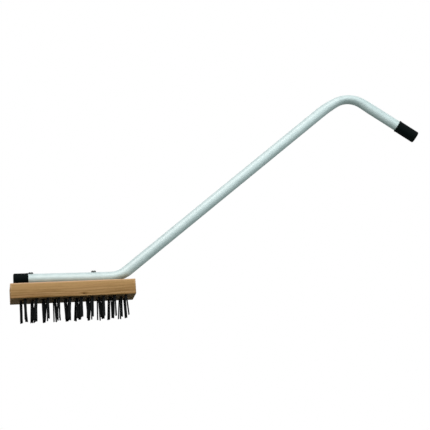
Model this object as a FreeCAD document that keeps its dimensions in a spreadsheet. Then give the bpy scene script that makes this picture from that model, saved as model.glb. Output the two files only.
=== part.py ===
import FreeCAD, Part
import math
import os
import Sketcher
from types import SimpleNamespace

# Long-handled grill brush: a hardwood block set with tufts of flat steel wire, screwed under
# an aluminium tube that is bent up into a long shaft and down again into a short grip.
# Frame: +X runs from the brush's nose to the grip, +Y to the far side, +Z up. The longest
# wires stand on z = 0, y = 0 is the plane of the bent tube, and x = 0 is half way along
# the whole brush.

# Driving dimensions, millimetres and degrees
driving = {
    # Tufts: four rows, the first and third shifted towards the handle
    "tuft_columns": 10,
    "tuft_pitch": 19.9,
    "tuft_shift": 6.9,
    "tuft_row_pitch": 14.5,
    "tuft_hole_depth": 12.0,
    "tuft_hole_clearance": 0.15,
    # Wood block round the tufts
    "block_nose_margin": 18.9,
    "block_heel_margin": 18.1,
    "block_side_margin": 10.0,
    "block_height": 27.5,
    "block_edge_radius": 0.8,
    # Flat wire, folded in two in each hole
    "wire_width": 2.2,
    "wire_thickness": 0.6,
    "wire_reach": 37.0,
    "wire_tip_width": 2.1,
    "wire_fan_along": 0.8,
    "wire_fan_across": 1.8,
    "wire_scatter": 0.3,
    "tuft_lean_across": 1.6,
    "wire_shortfall": 0.2,
    "wire_wear": 1.0,
    # Flat staple that pins each fold to the bottom of its hole
    "staple_thickness": 0.6,
    "staple_height": 2.5,
    "staple_bite": 1.0,
    # Handle tube
    "tube_radius": 10.0,
    "tube_wall": 0.9,
    "lower_bend_before_heel": 45.6,
    "lower_bend_radius": 59.0,
    "lower_bend_squash": 0.07,
    "shaft_rise": 37.1,
    "shaft_length": 479.0,
    "lead_radius": 210.0,
    "lead_turn": 11.0,
    "upper_bend_radius": 50.5,
    "upper_bend_squash": 0.17,
    "upper_bend_tail": 25.0,
    "grip_drop": 35.4,
    "grip_length": 92.2,
    # Soft caps on both ends of the tube
    "head_cap_place": 6.7,
    "head_cap_length": 26.5,
    "grip_cap_length": 42.0,
    "cap_bore_clearance": 0.05,
    "cap_wall": 1.3,
    "cap_end_wall": 3.0,
    "cap_end_rounding": 2.6,
    "cap_rim_step": 0.4,
    "cap_rim_width": 2.2,
    "cap_rim_slope": 2.0,
    # Slotted pan-head screws through the tube into the block
    "nose_screw_cap_gap": 0.6,
    "bend_screw_before_heel": 71.8,
    "screw_head_radius": 4.5,
    "screw_head_height": 2.8,
    "screw_head_rounding": 1.7,
    "screw_shank_radius": 2.1,
    "screw_bite": 18.0,
    "screw_point": 5.0,
    "screw_slot_width": 1.2,
    "screw_slot_depth": 1.3,
    "screw_tube_clearance": 0.15,
    "screw_wood_clearance": 0.05,
    "screw_hole_extra": 1.0,
}

ROW_PAIR_COUNT = 2
ACROSS_LEG_COUNT = 2
DEEP_LEG_COUNT = 4
LOWER_BEND_SECTION_COUNT = 7
LEAD_SECTION_COUNT = 5
UPPER_BEND_SECTION_COUNT = 8
TAIL_SECTION_COUNT = 3
EDGE_MATCH_TOLERANCE = 1e-4

# How far each tuft of a row leans along the block, in degrees towards the handle
TUFT_LEANS = (
    (-0.4, -4.8, -0.4, -4.0, -4.8, -1.2, -2.8, -1.6, -2.0, 2.4),
    (-1.2, -2.4, 0.4, 4.4, -0.8, 0.8, -2.8, 4.0, -1.2, -2.0),
    (3.2, -2.0, -4.4, 0.4, -1.2, -4.0, -4.8, -0.4, -4.4, 2.0),
    (0.4, -2.0, 1.6, 1.2, 4.0, -4.4, 2.8, 0.0, -3.2, -4.0),
)

# How many times wider than a tight tuft the legs of each tuft spread along the block
TUFT_SPREADS = (
    (1, 1, 1, 4, 1, 2, 1, 1, 4, 4),
    (1, 1, 1, 1, 1, 2, 1, 2, 4, 1),
    (1, 2, 4, 4, 1, 1, 4, 2, 1, 1),
    (1, 2, 2, 4, 2, 1, 1, 4, 1, 4),
)

doc = FreeCAD.newDocument("grill_brush")
sheet = doc.addObject("Spreadsheet::Sheet", "Sizes")
for line, (alias, value) in enumerate(driving.items(), start=1):
    sheet.set(f"A{line}", alias)
    sheet.set(f"B{line}", str(value))
    sheet.setAlias(f"B{line}", alias)
doc.recompute()
size = SimpleNamespace(**{alias: float(sheet.get(alias)) for alias in driving})


def worth(expression):
    """The value of an expression over the sheet."""
    return float(sheet.evalExpression(expression))


def add(kind, name, **expressions):
    """Add an object whose sizes follow the sheet."""
    item = doc.addObject(kind, name)
    for size_name, expression in expressions.items():
        item.setExpression(size_name, expression)
    return item


def point_at(x, z, y=0.0):
    """A point given along the brush, up, and across it."""
    return FreeCAD.Vector(x, y, z)


X_AXIS = FreeCAD.Vector(1, 0, 0)
Y_AXIS = FreeCAD.Vector(0, 1, 0)
Z_AXIS = FreeCAD.Vector(0, 0, 1)


# Sketch helpers

def add_sketch(body, name, plane_role, lift=None):
    """A sketch on one of the body's own planes, lifted off it by an expression."""
    sketch = body.newObject("Sketcher::SketchObject", name)
    plane = next(item for item in body.Origin.OriginFeatures if item.Role == plane_role)
    sketch.AttachmentSupport = [(plane, "")]
    sketch.MapMode = "FlatFace"
    if lift is not None:
        sketch.setExpression(".AttachmentOffset.Base.z", lift)
    return sketch


def hold(sketch, kind, elements, expression):
    """Add one dimension to a sketch and tie it to the sheet."""
    index = sketch.addConstraint(Sketcher.Constraint(kind, *elements, worth(expression)))
    sketch.setExpression(f"Constraints[{index}]", expression)


def add_outline(sketch, corners):
    """A closed outline; each corner is a pair of expressions measured from the origin."""
    places = [FreeCAD.Vector(worth(across), worth(up), 0) for across, up in corners]
    first = sketch.GeometryCount
    count = len(corners)
    for step in range(count):
        sketch.addGeometry(Part.LineSegment(places[step], places[(step + 1) % count]))
    for step in range(count):
        following = first + (step + 1) % count
        sketch.addConstraint(Sketcher.Constraint("Coincident", first + step, 2, following, 1))
    for step, (across, up) in enumerate(corners):
        hold(sketch, "DistanceX", (-1, 1, first + step, 1), across)
        hold(sketch, "DistanceY", (-1, 1, first + step, 1), up)


def add_circle(sketch, across, up, radius):
    """A circle whose centre and radius are expressions."""
    centre = FreeCAD.Vector(worth(across), worth(up), 0)
    index = sketch.addGeometry(Part.Circle(centre, Z_AXIS, worth(radius)))
    hold(sketch, "DistanceX", (-1, 1, index, 3), across)
    hold(sketch, "DistanceY", (-1, 1, index, 3), up)
    hold(sketch, "Radius", (index,), radius)


def edge_names(feature, wanted):
    """Names of the feature's edges that pass a test."""
    return [
        f"Edge{number}"
        for number, edge in enumerate(feature.Shape.Edges, start=1)
        if wanted(edge)
    ]


def round_edge(centre, radius):
    """A test for the circular edge with this centre and radius."""
    def is_it(edge):
        curve = edge.Curve
        if not isinstance(curve, Part.Circle):
            return False
        off_centre = curve.Center.distanceToPoint(centre)
        return max(off_centre, abs(curve.Radius - radius)) < EDGE_MATCH_TOLERANCE
    return is_it


def add_pocket(body, name, sketch, depth, upwards=False):
    """Cut a sketch into the body and make sure that it removes material."""
    before = body.Tip.Shape.Volume
    pocket = body.newObject("PartDesign::Pocket", name)
    pocket.Profile = sketch
    pocket.Reversed = upwards
    pocket.setExpression("Length", depth)
    doc.recompute()
    if not pocket.Shape.Volume < before:
        raise RuntimeError(f"{name} cuts nothing")
    return pocket


# Sizes that follow from the driving ones

ROW_COUNT = 2 * ROW_PAIR_COUNT
BLOCK_LENGTH = (
    "Sizes.block_nose_margin + Sizes.tuft_pitch * (Sizes.tuft_columns - 1)"
    " + Sizes.tuft_shift + Sizes.block_heel_margin"
)
FIRST_ROW_PLACE = f"-({ROW_COUNT} - 1) / 2 * Sizes.tuft_row_pitch"
SECOND_ROW_PLACE = f"({FIRST_ROW_PLACE} + Sizes.tuft_row_pitch)"
BLOCK_WIDTH = f"({ROW_COUNT} - 1) * Sizes.tuft_row_pitch + 2 * Sizes.block_side_margin"
BUNDLE_WIDTH = f"{ACROSS_LEG_COUNT} * Sizes.wire_width"
BUNDLE_DEPTH = f"({DEEP_LEG_COUNT} * Sizes.wire_thickness + Sizes.staple_thickness)"
FOLD_DEPTH = f"{DEEP_LEG_COUNT} * Sizes.wire_thickness / 2"
HOLE_RADIUS = f"hypot({BUNDLE_WIDTH}; {BUNDLE_DEPTH}) / 2 + Sizes.tuft_hole_clearance"
STAPLE_LENGTH = f"2 * ({HOLE_RADIUS} + Sizes.staple_bite)"
STAPLE_FLOOR = f"Sizes.tuft_hole_depth - {FOLD_DEPTH} - Sizes.staple_height"
CAP_RIM_WALL = "(Sizes.cap_wall + Sizes.cap_rim_step)"
NOSE_SCREW_PLACE = (
    "Sizes.head_cap_place + Sizes.head_cap_length"
    " + Sizes.nose_screw_cap_gap + Sizes.screw_head_radius"
)
BEND_SCREW_PLACE = f"{BLOCK_LENGTH} - Sizes.bend_screw_before_heel"
SCREW_LENGTH = "(2 * Sizes.tube_radius + Sizes.screw_bite)"
DRILL_LENGTH = "4 * Sizes.tube_radius"
TUBE_NOSE_RUN = (
    f"{BLOCK_LENGTH} - Sizes.lower_bend_before_heel"
    " - Sizes.head_cap_place - Sizes.cap_end_wall"
)

block_bottom = size.wire_reach
block_top = block_bottom + size.block_height
lower_bend_place = worth(BLOCK_LENGTH) - size.lower_bend_before_heel

# The rim of the head cap lies on the block and lifts the nose of the tube, which comes down
# to the block where the lower bend starts.
seat_length = lower_bend_place - size.head_cap_place - size.head_cap_length
head_tilt = math.degrees(math.asin(worth(CAP_RIM_WALL) / seat_length))


def direction(heading):
    """Unit vector along the brush for a heading in degrees, up from +X."""
    return point_at(math.cos(math.radians(heading)), math.sin(math.radians(heading)))


def arc_stations(point, heading, radius, turn, count):
    """Points and headings after each equal step of an arc; a positive turn goes up."""
    side = math.copysign(1.0, turn)
    centre = point + direction(heading + 90 * side) * radius
    stations = []
    for step in range(1, count + 1):
        now = heading + turn * step / count
        stations.append((centre - direction(now + 90 * side) * radius, now))
    return stations


def straight_stations(point, heading, length, count):
    """Points and headings after each equal step of a straight run."""
    return [(point + direction(heading) * (length * step / count), heading)
            for step in range(1, count + 1)]


# Centreline of the tube, from the nose to the end of the grip

bend_dip = size.lower_bend_radius * (1 - math.cos(math.radians(head_tilt)))
lower_start = point_at(lower_bend_place, block_top + size.tube_radius + bend_dip)
nose_end = lower_start - direction(-head_tilt) * worth(TUBE_NOSE_RUN)

lower_bend = [(lower_start, -head_tilt)]
lower_bend += arc_stations(
    lower_start, -head_tilt, size.lower_bend_radius, size.shaft_rise + head_tilt,
    LOWER_BEND_SECTION_COUNT,
)
shaft_start = lower_bend[-1][0]
shaft_end = shaft_start + direction(size.shaft_rise) * size.shaft_length

upper_bend = [(shaft_end, size.shaft_rise)]
upper_bend += arc_stations(
    shaft_end, size.shaft_rise, size.lead_radius, -size.lead_turn, LEAD_SECTION_COUNT,
)
upper_turn = size.shaft_rise + size.grip_drop - size.lead_turn
upper_bend += arc_stations(
    *upper_bend[-1], size.upper_bend_radius, -upper_turn, UPPER_BEND_SECTION_COUNT,
)
upper_bend += straight_stations(*upper_bend[-1], size.upper_bend_tail, TAIL_SECTION_COUNT)
grip_start = upper_bend[-1][0]
grip_end = grip_start + direction(-size.grip_drop) * size.grip_length

# The overall length ends where the rounded edge of the grip cap stands out furthest
grip_cap_end = grip_end + direction(-size.grip_drop) * size.cap_end_wall
rounding_centre = (
    grip_cap_end
    - direction(-size.grip_drop) * size.cap_end_rounding
    + direction(90 - size.grip_drop) * (size.tube_radius + size.cap_wall - size.cap_end_rounding)
)
overall_length = rounding_centre.x + size.cap_end_rounding
nose_x = -overall_length / 2
to_frame = point_at(nose_x, 0.0)


def upright(x, z, y=0.0):
    """Placement of an upright piece, from its place along, above and across the brush."""
    return FreeCAD.Placement(to_frame + point_at(x, z, y), FreeCAD.Rotation())


def across_path(point, heading):
    """Placement whose Z axis runs along the tube and whose X axis points to the far side."""
    along = direction(heading)
    rotation = FreeCAD.Rotation(Y_AXIS, along.cross(Y_AXIS), along, "ZXY")
    return FreeCAD.Placement(to_frame + point, rotation)


def along_path(point, heading):
    """Placement whose X axis runs along the tube."""
    return FreeCAD.Placement(to_frame + point, FreeCAD.Rotation(Y_AXIS, -heading))


# Wood block

def make_wood_block():
    """Block with eased edges, blind tuft holes with staple slots, and two screw holes."""
    body = doc.addObject("PartDesign::Body", "wood_block")
    plan = add_sketch(body, "block_plan", "XY_Plane")
    add_outline(plan, [
        ("0", f"-({BLOCK_WIDTH}) / 2"),
        (BLOCK_LENGTH, f"-({BLOCK_WIDTH}) / 2"),
        (BLOCK_LENGTH, f"({BLOCK_WIDTH}) / 2"),
        ("0", f"({BLOCK_WIDTH}) / 2"),
    ])
    blank = body.newObject("PartDesign::Pad", "block_blank")
    blank.Profile = plan
    blank.setExpression("Length", "Sizes.block_height")
    doc.recompute()
    eased = body.newObject("PartDesign::Fillet", "block_eased_edges")
    eased.Base = (blank, edge_names(blank, lambda edge: True))
    eased.setExpression("Radius", "Sizes.block_edge_radius")
    doc.recompute()

    # One pair of holes: the first row's is shifted, the second row's isn't
    hole_places = [
        ("Sizes.block_nose_margin + Sizes.tuft_shift", FIRST_ROW_PLACE),
        ("Sizes.block_nose_margin", SECOND_ROW_PLACE),
    ]
    hole_plan = add_sketch(body, "tuft_hole_plan", "XY_Plane")
    for across, up in hole_places:
        add_circle(hole_plan, across, up, HOLE_RADIUS)
    holes = add_pocket(body, "tuft_holes", hole_plan, "Sizes.tuft_hole_depth", upwards=True)

    slot_plan = add_sketch(body, "staple_slot_plan", "XY_Plane", lift=STAPLE_FLOOR)
    for across, up in hole_places:
        left = f"{across} - ({STAPLE_LENGTH}) / 2"
        right = f"{across} + ({STAPLE_LENGTH}) / 2"
        near = f"{up} - Sizes.staple_thickness / 2"
        far = f"{up} + Sizes.staple_thickness / 2"
        add_outline(slot_plan, [(left, near), (right, near), (right, far), (left, far)])
    slots = add_pocket(body, "staple_slots", slot_plan, "Sizes.staple_height", upwards=True)

    along = body.newObject("PartDesign::LinearPattern", "tuft_columns")
    along.Direction = (hole_plan, ["H_Axis"])
    along.setExpression("Length", "Sizes.tuft_pitch * (Sizes.tuft_columns - 1)")
    along.setExpression("Occurrences", "Sizes.tuft_columns")
    over = body.newObject("PartDesign::LinearPattern", "tuft_row_pairs")
    over.Direction = (hole_plan, ["V_Axis"])
    over.setExpression("Length", f"2 * Sizes.tuft_row_pitch * ({ROW_PAIR_COUNT} - 1)")
    over.Occurrences = ROW_PAIR_COUNT
    field = body.newObject("PartDesign::MultiTransform", "tuft_field")
    field.Originals = [holes, slots]
    field.Transformations = [along, over]
    body.Tip = field
    doc.recompute()

    screw_plan = add_sketch(body, "screw_hole_plan", "XY_Plane", lift="Sizes.block_height")
    for place in (NOSE_SCREW_PLACE, BEND_SCREW_PLACE):
        add_circle(screw_plan, place, "0", "Sizes.screw_shank_radius + Sizes.screw_wood_clearance")
    add_pocket(body, "screw_holes", screw_plan, "Sizes.screw_bite + Sizes.screw_hole_extra")
    body.Placement = upright(0, block_bottom)
    return body


# Tufts and their staples

def scatter(*numbers):
    """A fixed value from -1 to 1 that looks irregular from one set of numbers to the next."""
    mix = sum((index + 1) * 12.9898 * number for index, number in enumerate(numbers))
    share = math.sin(mix + 4.1) * 43758.5453
    return 2 * (share - math.floor(share)) - 1


def tuft_centre(row, column):
    """Place of one tuft along the block and across it; odd rows are shifted."""
    along = size.block_nose_margin + size.tuft_pitch * column + size.tuft_shift * (row % 2)
    across = (row - (ROW_COUNT + 1) / 2) * size.tuft_row_pitch
    return along, across


def make_folded_end(name, along, across):
    """The folded ends of the wires in their hole, with a gap for the staple."""
    left = along - worth(BUNDLE_WIDTH) / 2
    bundle = add("Part::Box", name + "_bundle", Length=BUNDLE_WIDTH, Width=BUNDLE_DEPTH,
                 Height="Sizes.tuft_hole_depth")
    bundle.Placement = upright(left, block_bottom, across - worth(BUNDLE_DEPTH) / 2)
    gap = add("Part::Box", name + "_staple_gap", Length=BUNDLE_WIDTH,
              Width="Sizes.staple_thickness", Height=f"Sizes.tuft_hole_depth - {FOLD_DEPTH}")
    gap.Placement = upright(left, block_bottom, across - size.staple_thickness / 2)
    folded = add("Part::Cut", name + "_folded")
    folded.Base = bundle
    folded.Tool = gap
    return folded


def make_leg(name, root, lean_along, lean_across, drop):
    """One flat wire from the mouth of its hole; it leans and narrows towards its worn tip."""
    along = f"({drop}) * tan({lean_along:.2f} deg)"
    across = f"({drop}) * tan({lean_across:.2f} deg)"
    leg = add(
        "Part::Wedge", name,
        Xmin="-Sizes.wire_width / 2", Xmax="Sizes.wire_width / 2",
        Zmin="-Sizes.wire_thickness / 2", Zmax="Sizes.wire_thickness / 2",
        Ymax=drop,
        X2min=f"{along} - Sizes.wire_tip_width / 2", X2max=f"{along} + Sizes.wire_tip_width / 2",
        Z2min=f"{across} - Sizes.wire_thickness / 2",
        Z2max=f"{across} + Sizes.wire_thickness / 2",
    )
    leg.Ymin = 0
    leg.Placement = FreeCAD.Placement(to_frame + root, FreeCAD.Rotation(X_AXIS, -90))
    return leg


def make_tuft(row, column):
    """Flat wires folded over one staple, with legs that spread apart."""
    name = f"tuft_row{row}_{column + 1:02d}"
    along, across = tuft_centre(row, column)
    row_leans = TUFT_LEANS[(row - 1) % len(TUFT_LEANS)]
    row_spreads = TUFT_SPREADS[(row - 1) % len(TUFT_SPREADS)]
    tuft_lean_along = row_leans[column % len(row_leans)]
    spread = size.wire_fan_along * row_spreads[column % len(row_spreads)]
    tuft_lean_across = scatter(row, column, 2) * size.tuft_lean_across
    longest = (3 * row + 5 * column) % (ACROSS_LEG_COUNT * DEEP_LEG_COUNT)
    pieces = [make_folded_end(name, along, across)]
    for leg in range(ACROSS_LEG_COUNT * DEEP_LEG_COUNT):
        side = leg % ACROSS_LEG_COUNT - (ACROSS_LEG_COUNT - 1) / 2
        layer = leg // ACROSS_LEG_COUNT - (DEEP_LEG_COUNT - 1) / 2
        beside_gap = math.copysign(size.staple_thickness / 2, layer)
        root = point_at(
            along + side * size.wire_width, block_bottom,
            across + layer * size.wire_thickness + beside_gap,
        )
        lean_along = (tuft_lean_along + side * spread
                      + scatter(row, column, leg, 3) * size.wire_scatter)
        lean_across = (tuft_lean_across + layer * size.wire_fan_across
                       + scatter(row, column, leg, 4) * size.wire_scatter)
        # The longest wire of each tuft reaches the ground; the others are worn shorter
        drop = "Sizes.wire_reach"
        if leg != longest:
            worn = abs(scatter(row, column, leg, 5))
            drop += f" - Sizes.wire_shortfall - {worn:.2f} * Sizes.wire_wear"
        pieces.append(make_leg(f"{name}_leg{leg + 1}", root, lean_along, lean_across, drop))
    tuft = doc.addObject("Part::MultiFuse", name)
    tuft.Shapes = pieces
    return tuft


def make_staples(centres):
    """One flat staple across each fold; its ends bite into the wood."""
    left = worth(STAPLE_LENGTH) / 2
    lowest = block_bottom + worth(STAPLE_FLOOR)
    pieces = []
    for number, (along, across) in enumerate(centres, start=1):
        staple = add("Part::Box", f"staple_{number:02d}", Length=STAPLE_LENGTH,
                     Width="Sizes.staple_thickness", Height="Sizes.staple_height")
        staple.Placement = upright(along - left, lowest, across - size.staple_thickness / 2)
        pieces.append(staple)
    staples = doc.addObject("Part::Compound", "tuft_staples")
    staples.Links = pieces
    return staples


# Handle tube

def make_run(name, point, heading, length, inset):
    """A straight round bar along the tube, smaller than the tube by an inset."""
    bar = add("Part::Cylinder", name, Radius=f"Sizes.tube_radius - {inset}", Height=length)
    bar.Placement = across_path(point, heading)
    return bar


def make_bend(name, stations, squash, inset):
    """A loft through the bend, pressed flatter in the bend's plane towards its middle."""
    sections = []
    for step, (point, heading) in enumerate(stations):
        flatter = math.sin(math.pi * step / (len(stations) - 1)) ** 2
        ring = add(
            "Part::Ellipse", f"{name}_section{step + 1}",
            MajorRadius=f"Sizes.tube_radius * (1 + {flatter:.4f} * {squash}) - {inset}",
            MinorRadius=f"Sizes.tube_radius * (1 - {flatter:.4f} * {squash}) - {inset}",
        )
        ring.Placement = across_path(point, heading)
        sections.append(ring)
    loft = doc.addObject("Part::Loft", name)
    loft.Sections = sections
    loft.Solid = True
    loft.Ruled = False
    return loft


def make_bar(name, inset):
    """The whole bent bar: nose run, lower bend, shaft, upper bend and grip."""
    bar = doc.addObject("Part::MultiFuse", name)
    bar.Shapes = [
        make_run(f"{name}_nose", nose_end, -head_tilt, TUBE_NOSE_RUN, inset),
        make_bend(f"{name}_lower_bend", lower_bend, "Sizes.lower_bend_squash", inset),
        make_run(f"{name}_shaft", shaft_start, size.shaft_rise, "Sizes.shaft_length", inset),
        make_bend(f"{name}_upper_bend", upper_bend, "Sizes.upper_bend_squash", inset),
        make_run(f"{name}_grip", grip_start, -size.grip_drop, "Sizes.grip_length", inset),
    ]
    return bar


def make_handle_tube():
    """Thin tube: the bore and two screw holes are cut from the bent bar."""
    bar = make_bar("tube_outside", "0")
    bore = make_bar("tube_bore", "Sizes.tube_wall")
    drills = []
    for name, place in (("nose", NOSE_SCREW_PLACE), ("bend", BEND_SCREW_PLACE)):
        drill = add(
            "Part::Cylinder", f"{name}_screw_drill",
            Radius="Sizes.screw_shank_radius + Sizes.screw_tube_clearance",
            Height=DRILL_LENGTH,
        )
        drill.Placement = upright(worth(place), block_top - size.tube_radius / 2)
        drills.append(drill)
    removed = doc.addObject("Part::MultiFuse", "tube_removed")
    removed.Shapes = [bore] + drills
    tube = doc.addObject("Part::Cut", "handle_tube")
    tube.Base = bar
    tube.Tool = removed
    return tube


# Soft caps

def make_cap(name, length, point, heading):
    """A moulded cap with a raised rim and a rounded closed end; the rim is at the origin."""
    body = doc.addObject("PartDesign::Body", name)
    profile = add_sketch(body, name + "_profile", "XZ_Plane")
    bore = "Sizes.tube_radius + Sizes.cap_bore_clearance"
    rim = f"Sizes.tube_radius + {CAP_RIM_WALL}"
    wall = "Sizes.tube_radius + Sizes.cap_wall"
    add_outline(profile, [
        ("0", bore),
        ("0", rim),
        ("Sizes.cap_rim_width", rim),
        ("Sizes.cap_rim_width + Sizes.cap_rim_slope", wall),
        (length, wall),
        (length, "0"),
        (f"{length} - Sizes.cap_end_wall", "0"),
        (f"{length} - Sizes.cap_end_wall", bore),
    ])
    turned_cap = body.newObject("PartDesign::Revolution", name + "_turned")
    turned_cap.Profile = profile
    turned_cap.ReferenceAxis = (profile, ["H_Axis"])
    turned_cap.Angle = 360
    doc.recompute()
    end_corner = round_edge(X_AXIS * worth(length), worth(wall))
    rounded = body.newObject("PartDesign::Fillet", name + "_rounded_end")
    rounded.Base = (turned_cap, edge_names(turned_cap, end_corner))
    rounded.setExpression("Radius", "Sizes.cap_end_rounding")
    body.Placement = along_path(point, heading)
    return body


# Screws

def make_screw(name, place):
    """Slotted pan-head wood screw that stands on the crown of the tube."""
    body = doc.addObject("PartDesign::Body", name)
    profile = add_sketch(body, name + "_profile", "XZ_Plane")
    add_outline(profile, [
        ("0", "Sizes.screw_head_height"),
        ("Sizes.screw_head_radius", "Sizes.screw_head_height"),
        ("Sizes.screw_head_radius", "0"),
        ("Sizes.screw_shank_radius", "0"),
        ("Sizes.screw_shank_radius", f"Sizes.screw_point - {SCREW_LENGTH}"),
        ("0", f"-{SCREW_LENGTH}"),
    ])
    turned_screw = body.newObject("PartDesign::Revolution", name + "_turned")
    turned_screw.Profile = profile
    turned_screw.ReferenceAxis = (profile, ["V_Axis"])
    turned_screw.Angle = 360
    doc.recompute()

    head_corner = round_edge(Z_AXIS * size.screw_head_height, size.screw_head_radius)
    pan = body.newObject("PartDesign::Fillet", name + "_pan")
    pan.Base = (turned_screw, edge_names(turned_screw, head_corner))
    pan.setExpression("Radius", "Sizes.screw_head_rounding")
    doc.recompute()

    slot_plan = add_sketch(body, name + "_slot_plan", "XY_Plane", lift="Sizes.screw_head_height")
    half = "Sizes.screw_slot_width / 2"
    reach = "2 * Sizes.screw_head_radius"
    add_outline(slot_plan, [
        (f"-{half}", f"-{reach}"), (half, f"-{reach}"), (half, reach), (f"-{half}", reach),
    ])
    add_pocket(body, name + "_slot", slot_plan, "Sizes.screw_slot_depth")

    # The head rests on the crown at its edge nearer the nose, where the tube stands higher
    tilt = math.radians(head_tilt)
    rise = (lower_bend_place - place + size.screw_head_radius) * math.tan(tilt)
    crown = lower_start.z + rise + size.tube_radius / math.cos(tilt)
    body.Placement = upright(place, crown)
    return body


# The whole brush

tuft_places = [(row, column) for row in range(1, ROW_COUNT + 1)
               for column in range(round(size.tuft_columns))]

nodes = [make_wood_block()]
nodes += [make_tuft(row, column) for row, column in tuft_places]
nodes.append(make_staples([tuft_centre(row, column) for row, column in tuft_places]))
nodes.append(make_handle_tube())
nodes.append(make_cap(
    "head_cap", "Sizes.head_cap_length",
    nose_end + direction(-head_tilt) * (size.head_cap_length - size.cap_end_wall),
    180 - head_tilt,
))
nodes.append(make_cap(
    "grip_cap", "Sizes.grip_cap_length",
    grip_end - direction(-size.grip_drop) * (size.grip_cap_length - size.cap_end_wall),
    -size.grip_drop,
))
nodes.append(make_screw("nose_screw", worth(NOSE_SCREW_PLACE)))
nodes.append(make_screw("bend_screw", worth(BEND_SCREW_PLACE)))
doc.recompute()

for item in doc.Objects:
    if "Invalid" in item.State or "Error" in item.State:
        raise RuntimeError(f"{item.Label} failed: {item.State}")
for node in nodes:
    if node.Shape.isNull() or not node.Shape.isValid() or not node.Shape.Solids:
        raise RuntimeError(f"{node.Label} has no valid solid")

print("Block", round(worth(BLOCK_LENGTH), 2), "by", round(worth(BLOCK_WIDTH), 2))
print("Head tilt", round(head_tilt, 3), "overall length", round(overall_length, 2))

os.makedirs("parts", exist_ok=True)
for node in nodes:
    node.Shape.exportStep(f"parts/{node.Label}.step")
print(len(nodes), "pieces written")
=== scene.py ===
import math

import bpy
from mathutils import Matrix, Vector


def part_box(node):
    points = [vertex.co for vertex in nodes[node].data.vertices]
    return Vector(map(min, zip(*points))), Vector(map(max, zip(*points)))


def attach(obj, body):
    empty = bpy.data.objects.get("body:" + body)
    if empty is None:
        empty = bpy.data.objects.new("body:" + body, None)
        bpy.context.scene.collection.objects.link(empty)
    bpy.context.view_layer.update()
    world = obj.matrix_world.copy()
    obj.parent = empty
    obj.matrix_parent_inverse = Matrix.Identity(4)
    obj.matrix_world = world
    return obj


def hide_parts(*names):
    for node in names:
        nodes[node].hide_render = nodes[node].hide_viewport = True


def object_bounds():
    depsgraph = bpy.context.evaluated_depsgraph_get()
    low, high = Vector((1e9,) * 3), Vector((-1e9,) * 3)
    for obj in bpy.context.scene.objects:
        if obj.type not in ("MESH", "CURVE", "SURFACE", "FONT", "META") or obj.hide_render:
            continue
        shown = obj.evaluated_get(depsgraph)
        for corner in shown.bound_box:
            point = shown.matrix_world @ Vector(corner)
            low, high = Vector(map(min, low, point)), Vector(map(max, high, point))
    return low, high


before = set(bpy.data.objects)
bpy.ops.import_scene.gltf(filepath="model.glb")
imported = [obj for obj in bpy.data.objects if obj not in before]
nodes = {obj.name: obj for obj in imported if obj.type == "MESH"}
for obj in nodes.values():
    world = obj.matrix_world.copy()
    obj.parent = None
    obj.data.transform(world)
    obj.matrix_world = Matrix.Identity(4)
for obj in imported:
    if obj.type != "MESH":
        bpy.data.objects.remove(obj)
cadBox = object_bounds()
mm = 0.001
print("frame loaded:", len(nodes), "CAD nodes")

scene = bpy.context.scene
scene.view_settings.view_transform = "Standard"


# Helpers shared by every piece

def linear(hexColour):
    # sRGB hex to the linear colour that a socket wants
    channels = [int(hexColour[i:i + 2], 16) / 255 for i in (1, 3, 5)]
    return [c / 12.92 if c <= 0.04045 else ((c + 0.055) / 1.055) ** 2.4 for c in channels] + [1]


def addNode(tree, kind, settings=None, links=None, values=None, stops=()):
    # one node: its own settings, the outputs that feed it, its fixed values, and the stops of
    # a colour ramp, each a place with a hex colour or a grey value
    node = tree.nodes.new(kind)
    for name, value in (settings or {}).items():
        setattr(node, name, value)
    for name, value in (values or {}).items():
        node.inputs[name].default_value = value
    for name, source in (links or {}).items():
        tree.links.new(source, node.inputs[name])
    if stops:
        elements = node.color_ramp.elements
        while len(elements) < len(stops):
            elements.new(0.5)
        for element, (place, colour) in zip(elements, stops):
            element.position = place
            element.color = linear(colour) if isinstance(colour, str) else (colour,) * 3 + (1,)
    return node


def openMaterial(name):
    # an empty material, its nodes, and the place on the object that its looks follow
    material = bpy.data.materials.new(name)
    material.use_nodes = True
    tree = material.node_tree
    tree.nodes.clear()
    return material, tree, addNode(tree, "ShaderNodeTexCoord").outputs["Object"]


def closeMaterial(tree, colour, pattern, height, looks):
    # the end of a material: its roughness follows a pattern, and its bump a height
    low, high = looks["roughness"]
    rough = addNode(tree, "ShaderNodeMapRange", links={"Value": pattern},
                    values={"To Min": low, "To Max": high})
    links = {"Base Color": colour, "Roughness": rough.outputs[0]}
    if height:
        strength, depth = looks["bump"]
        bump = addNode(tree, "ShaderNodeBump", links={"Height": height},
                       values={"Strength": strength, "Distance": depth * mm})
        links["Normal"] = bump.outputs[0]
    surface = addNode(tree, "ShaderNodeBsdfPrincipled", links=links, values=looks["gloss"])
    addNode(tree, "ShaderNodeOutputMaterial", links={"Surface": surface.outputs[0]})


def wear(obj, material):
    obj.data.materials.clear()
    obj.data.materials.append(material)


def deselectAll():
    if bpy.context.object and bpy.context.object.mode != "OBJECT":
        bpy.ops.object.mode_set(mode="OBJECT")
    bpy.ops.object.select_all(action="DESELECT")


def pick(obj):
    deselectAll()
    obj.select_set(True)
    bpy.context.view_layer.objects.active = obj


# Wood block: bare sanded hardwood, honey-tan, long grain from nose to heel

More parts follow.
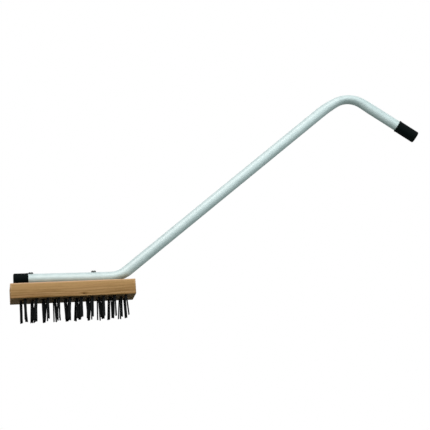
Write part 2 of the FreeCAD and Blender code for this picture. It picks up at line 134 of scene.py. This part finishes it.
wood = {
    # dark late-wood lines, the wood between, and pale early wood
    "tones": ((0.38, "#8A6334"), (0.50, "#A57B4C"), (0.62, "#BD9465")),
    "ringSpacing": 4.2,             # mm between growth rings
    "ringCentre": (24.0, -46.0),    # mm across and up, where the tree's heart would be
    "ringWarp": {"Distortion": 1.2, "Detail": 2.0, "Detail Scale": 0.6},
    "streakShare": 0.72,            # of the tone, and growth rings give the rest
    # noises drawn out along the grain: mm along it, mm across it, detail, roughness
    "noises": {
        "wander": (120.0, 26.0, 2.0, 0.5),
        "streaks": (70.0, 4.4, 5.0, 0.6),
        "patches": (60.0, 9.0, 2.0, 0.5),
        "pores": (7.0, 0.35, 1.0, 0.4),
    },
    "sway": 9.0,                    # mm, how far the grain wanders
    # colours laid over the grain, each with where it starts and is full, and its full share
    "blush": "#B7865B",             # broad pinkish patches
    "blushSpan": (0.45, 0.65),
    "blushShare": 0.7,
    "paintedLightAbove": "#D7A770",               # painted light: the block grows paler towards its top, as light falls from above
    "paintedLightAboveSpan": (0.045, 0.070),      # m above the ground, after the sway is added
    "paintedLightAboveShare": 0.9,
    "pore": "#76562F",
    "poreSpan": (0.60, 0.75),
    "poreShare": 0.35,
    "paintedShade": "#2C2013",             # painted shade between the wires, close to the underside
    "paintedShadeSpan": (0.78, 0.52),      # share of open sky
    "paintedShadeShare": 0.9,
    "paintedShadeNear": 32.0,              # mm, how near the wires stand where the painted shade darkens the wood
    "edge": "#FACBA4",              # painted highlight along the upper edges, paler and pinker where the light from above catches them
    "edgeHighlightWidth": 3.2,               # mm
    "edgeHighlightFrom": 52.0,               # mm above the ground, where the painted edge highlight starts to grow
    "knot": "#3A2412",
    "knotPlace": (-262.5, -31.75, 41.2),    # mm, on the near side
    "knotSize": (3.0, 6.0, 1.2),            # mm, half sizes
    "knotFade": ((0.30, 1.0), (0.60, 0.5), (1.0, 0.0)),     # by distance in knot sizes
    "swirlReach": 4.5,              # knot sizes, how far round it the grain bends
    "swirl": 5.0,                   # how strongly the grain parts beside it
    "swirlUp": (0.0, 0.0, 0.22),    # it parts upwards and downwards only
    "roughness": (0.66, 0.80),
    "bump": (0.2, 0.1),             # strength, mm
    "gloss": {"IOR": 1.5, "Specular IOR Level": 0.18},
}


def bendGrain(tree, place):
    # places along a grain that parts round the knot, and the distance in knot sizes
    fromKnot = addNode(tree, "ShaderNodeVectorMath", {"operation": "SUBTRACT"}, {0: place},
                       {1: [p * mm for p in wood["knotPlace"]]})
    scaled = addNode(tree, "ShaderNodeVectorMath", {"operation": "DIVIDE"},
                     {0: fromKnot.outputs[0]}, {1: [s * mm for s in wood["knotSize"]]})
    distance = addNode(tree, "ShaderNodeVectorMath", {"operation": "LENGTH"},
                       {0: scaled.outputs[0]})
    part = addNode(tree, "ShaderNodeMapRange", {"interpolation_type": "SMOOTHSTEP"},
                   {"Value": distance.outputs["Value"]},
                   {"From Min": 0.0, "From Max": wood["swirlReach"],
                    "To Min": -wood["swirl"], "To Max": 0.0})
    parted = addNode(tree, "ShaderNodeVectorMath", {"operation": "SCALE"},
                     {0: fromKnot.outputs[0], "Scale": part.outputs[0]})
    grain = addNode(tree, "ShaderNodeVectorMath", {"operation": "MULTIPLY_ADD"},
                    {0: parted.outputs[0], 2: place}, {1: wood["swirlUp"]})
    return grain.outputs[0], distance.outputs["Value"]


def findPaintedEdgeHighlight(tree, place):
    # the mask of the painted edge highlight: 1 on an edge, where two sides of the block are
    # both near, and 0 low down on the block
    low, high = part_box("wood_block")
    middle, half = (low + high) / 2, (high - low) / 2
    fromMiddle = addNode(tree, "ShaderNodeVectorMath", {"operation": "SUBTRACT"}, {0: place},
                         {1: middle})
    mirrored = addNode(tree, "ShaderNodeVectorMath", {"operation": "ABSOLUTE"},
                       {0: fromMiddle.outputs[0]})
    inside = addNode(tree, "ShaderNodeVectorMath", {"operation": "SUBTRACT"},
                     {1: mirrored.outputs[0]}, {0: half})
    depth = addNode(tree, "ShaderNodeSeparateXYZ", links={0: inside.outputs[0]}).outputs
    sums = [addNode(tree, "ShaderNodeMath", {"operation": "ADD"},
                    {0: depth[a], 1: depth[b]}).outputs[0]
            for a, b in ((0, 1), (1, 2), (0, 2))]
    nearest = sums[0]
    for other in sums[1:]:
        nearest = addNode(tree, "ShaderNodeMath", {"operation": "MINIMUM"},
                          {0: nearest, 1: other}).outputs[0]
    highlightBand = addNode(tree, "ShaderNodeMapRange", links={"Value": nearest},
                     values={"From Min": wood["edgeHighlightWidth"] * mm, "From Max": 0.0})
    height = addNode(tree, "ShaderNodeSeparateXYZ", links={0: place})
    upper = addNode(tree, "ShaderNodeMapRange", links={"Value": height.outputs["Z"]},
                    values={"From Min": wood["edgeHighlightFrom"] * mm, "From Max": float(high.z)})
    return addNode(tree, "ShaderNodeMath", {"operation": "MULTIPLY"},
                   {0: highlightBand.outputs[0], 1: upper.outputs[0]}).outputs[0]


def makeBareHardwood():
    # planed and sanded hardwood with no varnish: matt, honey-tan, with soft streaks
    material, tree, place = openMaterial("bareSandedHardwood")
    grain, fromKnot = bendGrain(tree, place)
    noises = {}
    for name, (length, width, detail, roughness) in wood["noises"].items():
        drawnOut = addNode(tree, "ShaderNodeMapping", links={"Vector": grain}, values={
            "Scale": (1 / (length * mm), 1 / (width * mm), 1 / (width * mm))})
        noises[name] = addNode(tree, "ShaderNodeTexNoise",
                               links={"Vector": drawnOut.outputs[0]},
                               values={"Scale": 1.0, "Detail": detail, "Roughness": roughness})
    streaks, patches, pores = (noises[name].outputs["Fac"]
                               for name in ("streaks", "patches", "pores"))
    sway = wood["sway"] * mm
    swayed = addNode(tree, "ShaderNodeVectorMath", {"operation": "MULTIPLY_ADD"},
                     {0: noises["wander"].outputs["Color"], 2: grain}, {1: (0.0, sway, sway)})
    heart = addNode(tree, "ShaderNodeMapping", links={"Vector": swayed.outputs[0]},
                    values={"Location": [0, *(-c * mm for c in wood["ringCentre"])]})
    # the wave texture has a ring every pi / 10 of a unit
    rings = addNode(tree, "ShaderNodeTexWave",
                    {"wave_type": "RINGS", "rings_direction": "X", "wave_profile": "SAW"},
                    {"Vector": heart.outputs[0]},
                    {"Scale": math.pi / 10 / (wood["ringSpacing"] * mm), **wood["ringWarp"]})
    blend = addNode(tree, "ShaderNodeMix", {"data_type": "FLOAT"},
                    {2: rings.outputs["Fac"], 3: streaks}, {0: wood["streakShare"]})
    tone = addNode(tree, "ShaderNodeValToRGB", links={"Fac": blend.outputs[0]},
                   stops=wood["tones"])
    # painted light from above: it starts on a wavy line and grows paler upwards
    wavy = addNode(tree, "ShaderNodeSeparateXYZ", links={0: swayed.outputs[0]})
    # painted shade: the wood is darkened where the wires stand near it, as if shaded by them
    openSky = addNode(tree, "ShaderNodeAmbientOcclusion",
                      values={"Distance": wood["paintedShadeNear"] * mm})
    fade = addNode(tree, "ShaderNodeValToRGB", links={"Fac": fromKnot}, stops=wood["knotFade"])
    # the layer on the upper edges is a painted highlight
    shares = {"edge": findPaintedEdgeHighlight(tree, place), "knot": fade.outputs["Color"]}
    for name, source in (("blush", patches), ("paintedLightAbove", wavy.outputs["Z"]), ("pore", pores),
                         ("paintedShade", openSky.outputs["AO"])):
        start, full = wood[name + "Span"]
        shares[name] = addNode(tree, "ShaderNodeMapRange", links={"Value": source},
                               values={"From Min": start, "From Max": full,
                                       "To Max": wood[name + "Share"]}).outputs[0]
    colour = tone.outputs["Color"]
    for name in ("blush", "paintedLightAbove", "pore", "edge", "paintedShade", "knot"):
        colour = addNode(tree, "ShaderNodeMix", {"data_type": "RGBA"},
                         {0: shares[name], 6: colour}, {7: linear(wood[name])}).outputs[2]
    closeMaterial(tree, colour, streaks, pores, wood)
    return material


wear(nodes["wood_block"], makeBareHardwood())
print("wood block finished")


# Bent tube: aluminium with a satin anodised skin

tube = {
    "clouds": (14.0, 3.0),      # faint mottle in the skin: mm, detail
    "grit": (0.5, 2.0),         # drawn coarser than the real blasting, so that it shows
    "tones": ((0.35, "#C8D6D7"), (0.60, "#D1DEDF")),    # worn, and cool silver grey
    "roughness": (0.42, 0.52),
    "bump": (0.03, 0.05),       # strength, mm
    "gloss": {"Metallic": 0.18},
}


def makeSatinAluminium():
    # blasted and anodised: a soft even silver with no mirror in it
    material, tree, place = openMaterial("satinAnodisedAluminium")
    clouds, grit = (
        addNode(tree, "ShaderNodeTexNoise", links={"Vector": place},
                values={"Scale": 1 / (size * mm), "Detail": detail}).outputs["Fac"]
        for size, detail in (tube["clouds"], tube["grit"]))
    tone = addNode(tree, "ShaderNodeValToRGB", links={"Fac": clouds}, stops=tube["tones"])
    closeMaterial(tree, tone.outputs["Color"], clouds, grit, tube)
    return material


wear(nodes["handle_tube"], makeSatinAluminium())
print("tube finished")


# Caps: soft black vinyl, dip-moulded, matt

caps = {
    "dimple": (1.6, 3.0),       # the uneven skin: mm, detail
    "tones": ((0.4, "#010707"), (0.75, "#060E0E")),
    "roughness": (0.55, 0.7),
    "bump": (0.15, 0.2),        # strength, mm
    "gloss": {"IOR": 1.5, "Specular IOR Level": 0.05},
}


def makeSoftVinyl():
    # dipped plastisol: black, matt, with a slightly wavy skin
    material, tree, place = openMaterial("blackSoftVinyl")
    size, detail = caps["dimple"]
    waves = addNode(tree, "ShaderNodeTexNoise", links={"Vector": place},
                    values={"Scale": 1 / (size * mm), "Detail": detail}).outputs["Fac"]
    tone = addNode(tree, "ShaderNodeValToRGB", links={"Fac": waves}, stops=caps["tones"])
    closeMaterial(tree, tone.outputs["Color"], waves, waves, caps)
    return material


softVinyl = makeSoftVinyl()
for name in ("head_cap", "grip_cap"):
    wear(nodes[name], softVinyl)
print("caps finished")


# Screws and staples: dull patches on brighter plate

fittings = {
    "stain": (1.2, 4.0),        # the dull patches: mm, detail
    "screw": {
        "tones": ((0.4, "#3A3C3A"), (0.6, "#6A6C6B")),
        "roughness": (0.44, 0.32),
        "gloss": {"Metallic": 1.0},
    },
    "staple": {
        "tones": ((0.4, "#75746F"), (0.6, "#9A9B9B")),
        "roughness": (0.52, 0.40),
        "gloss": {"Metallic": 1.0},
    },
}


def makePlatedSteel(name, looks):
    # zinc plate gone dull, darker where it has been handled
    material, tree, place = openMaterial(name)
    size, detail = fittings["stain"]
    patches = addNode(tree, "ShaderNodeTexNoise", links={"Vector": place},
                      values={"Scale": 1 / (size * mm), "Detail": detail}).outputs["Fac"]
    tone = addNode(tree, "ShaderNodeValToRGB", links={"Fac": patches}, stops=looks["tones"])
    closeMaterial(tree, tone.outputs["Color"], patches, None, looks)
    return material


dullScrewPlate = makePlatedSteel("dullZincPlate", fittings["screw"])
for name in ("nose_screw", "bend_screw"):
    wear(nodes[name], dullScrewPlate)
wear(nodes["tuft_staples"], makePlatedSteel("bareStapleSteel", fittings["staple"]))
print("screws and staples finished")


# Bristles: flat spring wire, folded in two in each hole. A tuft has eight legs, in two files
# side by side, and a tight one shows a ninth between them.

wires = {
    "pitch": 19.9,              # mm from tuft to tuft along the block
    "rowPitch": 14.5,
    "oddRowShift": 6.9,         # first and third row sit nearer the handle
    "noseMargin": 18.9,
    "width": 2.2,
    "thickness": 0.6,
    "tipWidth": 2.1,
    "reach": 37.0,              # from the wood to the ground
    "inWood": 8.0,              # how far a leg is seen down its hole, short of the staple
    "stapleGap": 0.6,
    "edgeRound": 0.14,
    "loops": 9,                 # cuts along a leg, so that it can bow
    "tipCuts": (0.0, 14.0, -20.0, 28.0, -10.0, -30.0),  # degrees, worn tips
    "smoothBelow": 40.0,        # degrees
    "deepLegs": 4,              # legs one behind the other in a file
    "middleUpTo": 2,            # tufts that spread no more than this have a leg in the middle
    "fanAlong": 0.8,            # degrees between the two files of legs of a tight tuft
    "fanAcross": 1.8,           # degrees between a leg and the one behind it
    "leanAcross": 1.6,          # degrees at most, a whole tuft
    "stray": 0.3,               # degrees at most, a leg of a tight tuft
    "bow": 0.15,                # mm at most, off a straight line
    "shortfall": 0.2,           # mm, how much shorter than the longest a leg is at least
    "wear": 1.0,                # mm at most, worn off on top of that
    # how far the longest leg moves on from row to row and from column to column
    "longestSteps": (3, 5),
    # how far the shape of the tip moves on, by row, column and leg
    "tipSteps": (1, 3, 5),
    # degrees that each tuft of a row leans towards the handle
    "leans": (
        (-0.4, -4.8, -0.4, -4.0, -4.8, -1.2, -2.8, -1.6, -2.0, 2.4),
        (-1.2, -2.4, 0.4, 4.4, -0.8, 0.8, -2.8, 4.0, -1.2, -2.0),
        (3.2, -2.0, -4.4, 0.4, -1.2, -4.0, -4.8, -0.4, -4.4, 2.0),
        (0.4, -2.0, 1.6, 1.2, 4.0, -4.4, 2.8, 0.0, -3.2, -4.0),
    ),
    # how many times wider than a tight tuft each tuft spreads
    "spreads": (
        (1, 1, 1, 4, 1, 2, 1, 1, 4, 4),
        (1, 1, 1, 1, 1, 2, 1, 2, 4, 1),
        (1, 2, 4, 4, 1, 1, 4, 2, 1, 1),
        (1, 2, 2, 4, 2, 1, 1, 4, 1, 4),
    ),
    # (row, column) of a tuft with one wire bent aside: which leg, degrees more, mm more bow
    "bentAside": {
        (3, 1): (0, -2.0, -1.2),
        (4, 1): (1, 4.0, 1.2),
        (2, 2): (1, 0.0, 1.4),
        (3, 4): (0, -1.0, -1.5),
        (1, 6): (0, 0.0, -1.2),
        (2, 6): (1, 0.0, 1.0),
    },
    "drawn": (0.5, 8.0, 3.0),   # streaks along the wire: mm across, mm along, detail
    # blackened steel, and the dull grey that the drawing left in it
    "tones": ((0.35, "#040506"), (0.62, "#0C0F10"), (0.80, "#1C2022")),
    "roughness": (0.5, 0.36),
    "gloss": {"Metallic": 0.85},
}

# which of its irregular values a tuft or a leg takes for each thing
draw = {"tuftAcross": 2, "along": 3, "across": 4, "worn": 5, "bowAlong": 6, "bowAcross": 7}
scatterStep, scatterShift, scatterScale = 12.9898, 4.1, 43758.5453


def makeTemperedWire():
    # oil-blackened spring steel: nearly black, a dull grey glint along the flats
    material, tree, place = openMaterial("blackenedSpringWire")
    width, length, detail = wires["drawn"]
    drawnOut = addNode(tree, "ShaderNodeMapping", links={"Vector": place}, values={
        "Scale": (1 / (width * mm), 1 / (width * mm), 1 / (length * mm))})
    drawn = addNode(tree, "ShaderNodeTexNoise", links={"Vector": drawnOut.outputs[0]},
                    values={"Scale": 1.0, "Detail": detail}).outputs["Fac"]
    tone = addNode(tree, "ShaderNodeValToRGB", links={"Fac": drawn}, stops=wires["tones"])
    closeMaterial(tree, tone.outputs["Color"], drawn, None, wires)
    return material


def scatter(*numbers):
    # the same irregular value from -1 to 1 each time for one set of numbers
    mix = sum((index + 1) * scatterStep * number for index, number in enumerate(numbers))
    share = math.sin(mix + scatterShift) * scatterScale
    return 2 * (share - math.floor(share)) - 1


def selectEdges(obj, wanted):
    # leaves the object in edit mode with only the wanted edges selected
    bpy.ops.object.mode_set(mode="EDIT")
    bpy.ops.mesh.select_mode(type="EDGE")
    bpy.ops.mesh.select_all(action="DESELECT")
    bpy.ops.object.mode_set(mode="OBJECT")
    for edge in obj.data.edges:
        edge.select = wanted(*(obj.data.vertices[v].co for v in edge.vertices))
    bpy.ops.object.mode_set(mode="EDIT")


def modelLeg(name, tipAngle):
    # one straight leg hanging from the origin: a flat bar, its long edges rolled round,
    # narrowed towards the tip, and the tip worn off at an angle
    length = wires["reach"] * mm
    above = wires["inWood"] * mm
    deselectAll()
    bpy.ops.mesh.primitive_cube_add(size=1, location=(0, 0, (above - length) / 2))
    leg = bpy.context.object
    leg.name = name
    leg.scale = (wires["width"] * mm, wires["thickness"] * mm, length + above)
    bpy.ops.object.transform_apply(location=True, rotation=False, scale=True)

    def isLong(start, end):
        return abs(start.z - end.z) > length / 2

    selectEdges(leg, isLong)
    bpy.ops.mesh.bevel(offset=wires["edgeRound"] * mm, segments=1, affect="EDGES")
    selectEdges(leg, isLong)
    bpy.ops.mesh.subdivide(number_cuts=wires["loops"])
    bpy.ops.mesh.select_all(action="SELECT")
    if tipAngle:
        slant = math.radians(tipAngle)
        lift = abs(math.tan(slant)) * wires["tipWidth"] * mm / 2
        bpy.ops.mesh.bisect(plane_co=(0, 0, -length + lift), use_fill=True, clear_outer=True,
                            plane_no=(math.sin(slant), 0, -math.cos(slant)))
    bpy.ops.object.mode_set(mode="OBJECT")
    for vertex in leg.data.vertices:
        share = max(-vertex.co.z / length, 0)
        vertex.co.x *= 1 - share * (1 - wires["tipWidth"] / wires["width"])
    return leg


def placeLeg(template, place, leans, drop, bows=(0.0, 0.0)):
    # a copy of a leg with its own mesh, let down from the mouth of its hole. Leans are in
    # degrees and the rest in mm; place is from the nose and the middle of the block.
    leg = template.copy()
    leg.data = template.data.copy()
    scene.collection.objects.link(leg)
    length = wires["reach"] * mm
    root = Vector((cadBox[0][0] + place[0] * mm, place[1] * mm, length))
    drop = drop * mm
    alongTip, acrossTip = (drop * math.tan(math.radians(lean)) for lean in leans)
    for vertex in leg.data.vertices:
        share = max(-vertex.co.z / length, 0)
        bulge = math.sin(math.pi * share)
        vertex.co.x += root.x + alongTip * share + bows[0] * mm * bulge
        vertex.co.y += root.y + acrossTip * share + bows[1] * mm * bulge
        if share > 0:
            vertex.co.z = -share * drop
        vertex.co.z += root.z
    return leg


def growTuft(row, column, templates):
    # the legs of one tuft; rows count from 1 on the near side, columns from 0 at the nose
    along = wires["noseMargin"] + wires["pitch"] * column + wires["oddRowShift"] * (row % 2)
    across = (row - (len(wires["leans"]) + 1) / 2) * wires["rowPitch"]
    tuftAlong = wires["leans"][row - 1][column]
    tuftAcross = scatter(row, column, draw["tuftAcross"]) * wires["leanAcross"]
    looseness = wires["spreads"][row - 1][column]
    spread = wires["fanAlong"] * looseness
    bentLeg, bentLean, bentBow = wires["bentAside"].get((row, column), (None, 0.0, 0.0))
    legCount = 2 * wires["deepLegs"]
    # neighbours differ in which leg is the longest, and in their tips
    rowStep, columnStep = wires["longestSteps"]
    longest = (rowStep * row + columnStep * column) % legCount
    rowStep, columnStep, legStep = wires["tipSteps"]
    legs = []
    for leg in range(legCount):
        side = leg % 2 - 0.5
        layer = leg // 2 - (wires["deepLegs"] - 1) / 2
        gap = math.copysign(wires["stapleGap"] / 2, layer)
        place = (along + side * wires["width"], across + layer * wires["thickness"] + gap)
        leanAlong = (tuftAlong + side * spread + scatter(row, column, leg, draw["along"])
                     * wires["stray"] * (looseness + 1) / 2)
        leanAcross = (tuftAcross + layer * wires["fanAcross"]
                      + scatter(row, column, leg, draw["across"]) * wires["stray"])
        bowAlong = scatter(row, column, leg, draw["bowAlong"]) * wires["bow"]
        bowAcross = scatter(row, column, leg, draw["bowAcross"]) * wires["bow"]
        if leg == bentLeg:
            leanAlong += bentLean
            bowAlong += bentBow
        drop, shape = wires["reach"], 0
        if leg != longest:
            worn = abs(scatter(row, column, leg, draw["worn"]))
            drop -= wires["shortfall"] + worn * wires["wear"]
            shape = (legStep * leg + rowStep * row + columnStep * column) % len(templates)
        legs.append(placeLeg(templates[shape], place, (leanAlong, leanAcross), drop,
                             (bowAlong, bowAcross)))
    if looseness <= wires["middleUpTo"]:
        shape = (row + column) % len(templates)
        legs.append(placeLeg(templates[shape], (along, across), (tuftAlong, tuftAcross),
                             wires["reach"] - wires["shortfall"]))
    return legs


temperedWire = makeTemperedWire()
templates = [modelLeg(f"legTemplate{i}", angle) for i, angle in enumerate(wires["tipCuts"])]
for row, rowLeans in enumerate(wires["leans"], start=1):
    for column in range(len(rowLeans)):
        legs = growTuft(row, column, templates)
        pick(legs[0])
        for leg in legs:
            leg.select_set(True)
        bpy.ops.object.join()
        tuft = bpy.context.object
        tuft.name = f"wires_row{row}_{column + 1:02d}"
        wear(tuft, temperedWire)
        bpy.ops.object.shade_smooth_by_angle(angle=math.radians(wires["smoothBelow"]))
        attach(tuft, "root")
        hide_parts(f"tuft_row{row}_{column + 1:02d}")
for template in templates:
    bpy.data.objects.remove(template)
print("bristles finished")


# Floor, seen from above only, and the studio round it

studio = {
    "floorSeen": "#EFECE9",
    "floorBounce": "#5A6661",   # what the floor sends back to the object
    "floorSize": 30.0,          # m
    "fadeSpan": (0.5, 2.0),     # m from the middle, where the floor melts into white
    "skyLevel": 0.43,
    "skyColour": "#E4F8F8",     # cool light from all round
    "white": "#FFFFFF",
    "lampAim": (0.0, 0.0, 0.15),
    # name, place in m, size in m, watts, colour; the large lamp is a little warmer
    "lamps": (
        ("keyLamp", (-0.9, -2.0, 2.4), 2.4, 57.0, "#FFF7F4"),
        ("fillLamp", (0.7, -1.3, 0.7), 1.6, 10.0, "#EAF8F8"),
    ),
}


def findSeen(tree):
    # whether the camera sees it straight, and whether it sees it at all, so in a gloss or
    # through glass as well
    path = addNode(tree, "ShaderNodeLightPath").outputs
    seen = path["Is Camera Ray"]
    for way in ("Is Glossy Ray", "Is Transmission Ray"):
        seen = addNode(tree, "ShaderNodeMath", {"operation": "MAXIMUM"},
                       {0: seen, 1: path[way]}).outputs[0]
    return path["Is Camera Ray"], seen


def makeFloor():
    deselectAll()
    bpy.ops.mesh.primitive_plane_add(size=studio["floorSize"], location=(0, 0, 0))
    floor = bpy.context.object
    floor.name = "studioFloor"
    material, tree, place = openMaterial("paleStudioFloor")
    straight, seen = findSeen(tree)
    colour = addNode(tree, "ShaderNodeMix", {"data_type": "RGBA"}, {0: seen},
                     {6: linear(studio["floorBounce"]), 7: linear(studio["floorSeen"])})
    matt = addNode(tree, "ShaderNodeBsdfDiffuse", links={"Color": colour.outputs[2]})
    white = addNode(tree, "ShaderNodeEmission", values={"Strength": 1.0})
    distance = addNode(tree, "ShaderNodeVectorMath", {"operation": "LENGTH"}, {0: place})
    start, full = studio["fadeSpan"]
    fade = addNode(tree, "ShaderNodeMapRange", {"interpolation_type": "SMOOTHSTEP"},
                   {"Value": distance.outputs["Value"]}, {"From Min": start, "From Max": full})
    fade = addNode(tree, "ShaderNodeMath", {"operation": "MULTIPLY"},
                   {0: fade.outputs[0], 1: seen})
    top = addNode(tree, "ShaderNodeMixShader",
                  links={0: fade.outputs[0], 1: matt.outputs[0], 2: white.outputs[0]})
    # the photograph looks up from a little below the ground, so the floor has no underside
    side = addNode(tree, "ShaderNodeNewGeometry")
    below = addNode(tree, "ShaderNodeMath", {"operation": "MULTIPLY"},
                    {0: side.outputs["Backfacing"], 1: straight})
    clear = addNode(tree, "ShaderNodeBsdfTransparent")
    both = addNode(tree, "ShaderNodeMixShader",
                   links={0: below.outputs[0], 1: top.outputs[0], 2: clear.outputs[0]})
    addNode(tree, "ShaderNodeOutputMaterial", links={"Surface": both.outputs[0]})
    wear(floor, material)


def makeWorld():
    world = bpy.data.worlds.new("whiteStudio")
    scene.world = world
    world.use_nodes = True
    tree = world.node_tree
    tree.nodes.clear()
    seen = findSeen(tree)[1]
    sky = addNode(tree, "ShaderNodeBackground",
                  values={"Strength": studio["skyLevel"], "Color": linear(studio["skyColour"])})
    white = addNode(tree, "ShaderNodeBackground",
                    values={"Strength": 1.0, "Color": linear(studio["white"])})
    mixed = addNode(tree, "ShaderNodeMixShader",
                    links={0: seen, 1: sky.outputs[0], 2: white.outputs[0]})
    addNode(tree, "ShaderNodeOutputWorld", links={"Surface": mixed.outputs[0]})


def addLamp(name, place, size, power, colour):
    light = bpy.data.lights.new(name, "AREA")
    light.size = size
    light.energy = power
    light.color = linear(colour)[:3]
    lamp = bpy.data.objects.new(name, light)
    lamp.location = place
    towards = Vector(studio["lampAim"]) - Vector(place)
    lamp.rotation_euler = towards.to_track_quat("-Z", "Y").to_euler()
    scene.collection.objects.link(lamp)


makeFloor()
makeWorld()
for lampValues in studio["lamps"]:
    addLamp(*lampValues)
print("studio lit")


# Camera, from where the photograph was taken

view = {
    "target": (-11.6, 0.0, 183.9),  # mm
    "distance": 2784.6,
    "azimuth": -9.566,          # degrees, towards the nose
    "elevation": -13.044,       # a little below the ground
    "roll": -4.047,
    "focalPixels": 1506.0,      # for an image 430 pixels wide
    "imageWidth": 430,
    "sensor": 36.0,
    "farthest": 100.0,          # m, so that the floor is seen to its end
}


def placeCamera():
    turn, rise, roll = (math.radians(view[k]) for k in ("azimuth", "elevation", "roll"))
    back = Vector((math.sin(turn) * math.cos(rise), -math.cos(turn) * math.cos(rise),
                   math.sin(rise)))
    right = Vector((math.cos(turn), math.sin(turn), 0))
    up = back.cross(right)
    camX = math.cos(roll) * right + math.sin(roll) * up
    camY = -math.sin(roll) * right + math.cos(roll) * up
    place = Vector(view["target"]) * mm + back * view["distance"] * mm
    data = bpy.data.cameras.new("photoCamera")
    data.sensor_width = view["sensor"]
    data.lens = view["sensor"] * view["focalPixels"] / view["imageWidth"]
    data.clip_end = view["farthest"]
    camera = bpy.data.objects.new("photoCamera", data)
    camera.matrix_world = Matrix.Translation(place) @ Matrix(
        (camX, camY, back)).transposed().to_4x4()
    scene.collection.objects.link(camera)
    scene.camera = camera


placeCamera()
print("camera placed")
